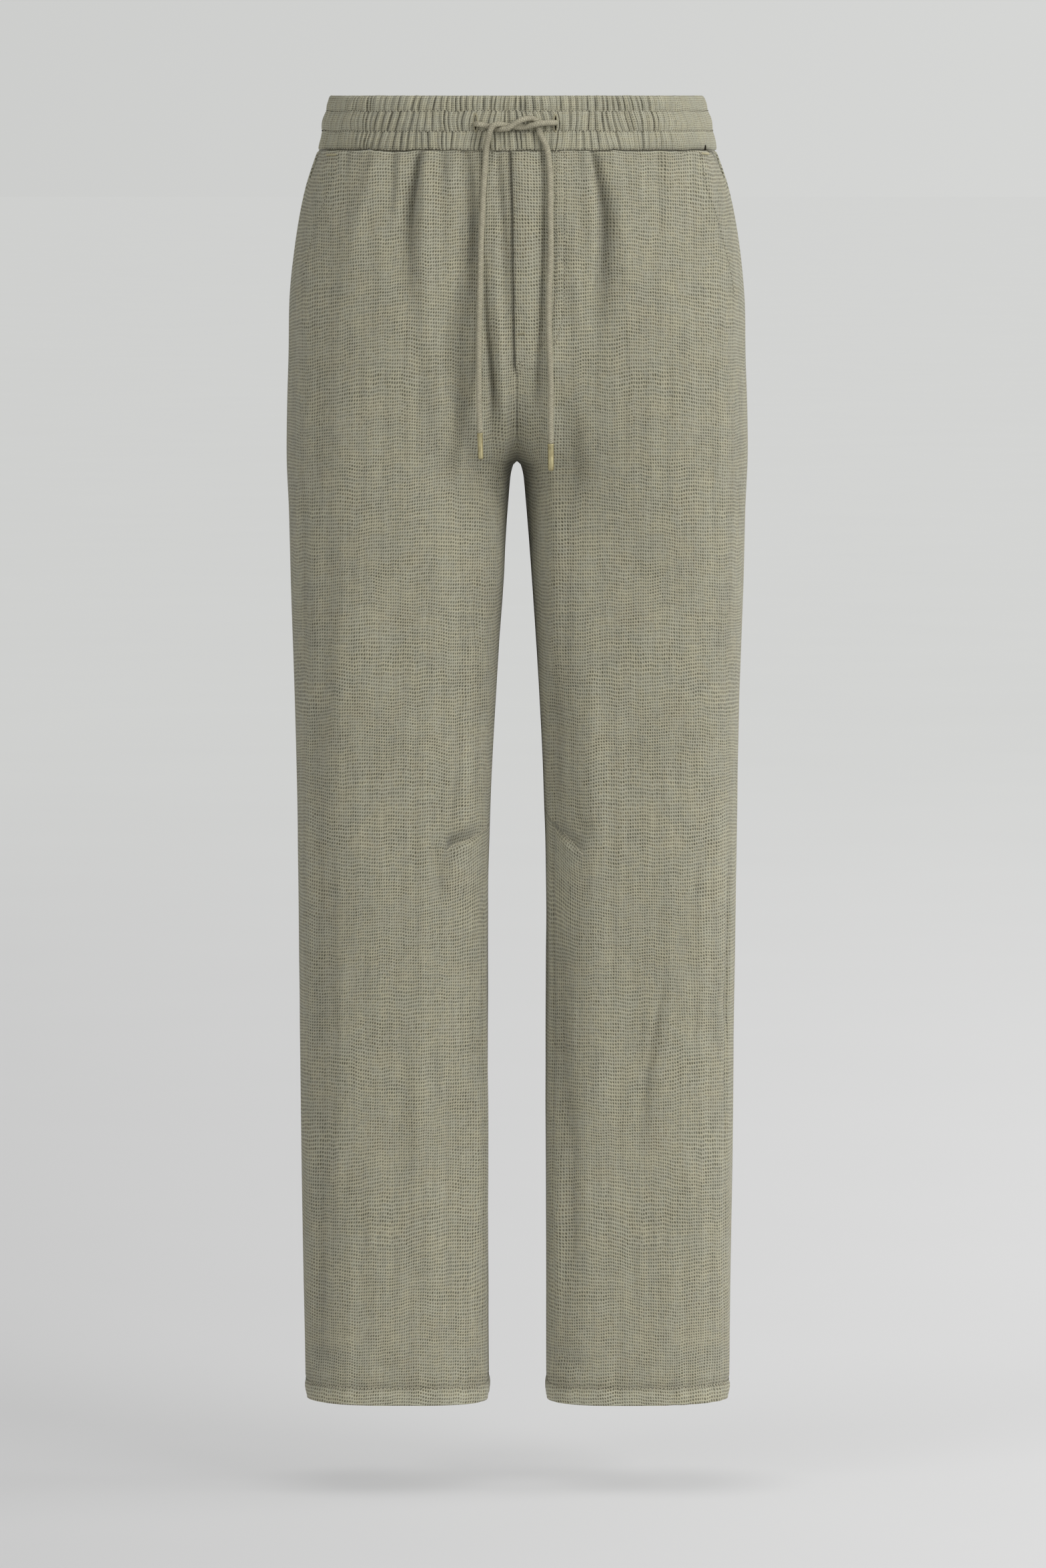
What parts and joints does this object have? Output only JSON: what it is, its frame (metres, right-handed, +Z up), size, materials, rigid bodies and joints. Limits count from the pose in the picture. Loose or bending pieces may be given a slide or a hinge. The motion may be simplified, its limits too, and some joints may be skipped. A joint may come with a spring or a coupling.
{
  "type": "drawstring trousers",
  "caption": "Straight full-length trousers with a gathered elastic waistband, a tied drawstring, a stitched fly front and slanted side pockets, filled out as if worn.",
  "frame": {"origin": "middle of the waistband's top edge, where the wearer's waist holds the garment", "axes": "+Z up towards the waist, -Y to the front where the fly and drawstring are, +X to the wearer's left"},
  "size_m": [0.3686, 0.2763, 1.047],
  "materials": {
    "cloth": "matt waffle weave, olive khaki",
    "thread": "matt sewing thread, a little lighter than the cloth",
    "cord": "matt round braid",
    "brass": "brushed, antique"
  },
  "bodies": {
    "root": {"waistband": "cloth", "front_panel_left": "cloth", "front_panel_right": "cloth", "back_panel_left": "cloth", "back_panel_right": "cloth", "pocket_facing_left": "cloth", "pocket_facing_right": "cloth", "fly_placket": "cloth", "buttonhole_left": "thread", "buttonhole_right": "thread", "drawstring_left": "cord", "drawstring_right": "cord", "aglet_left": "brass", "aglet_right": "brass"}
  },
  "joints": []
}
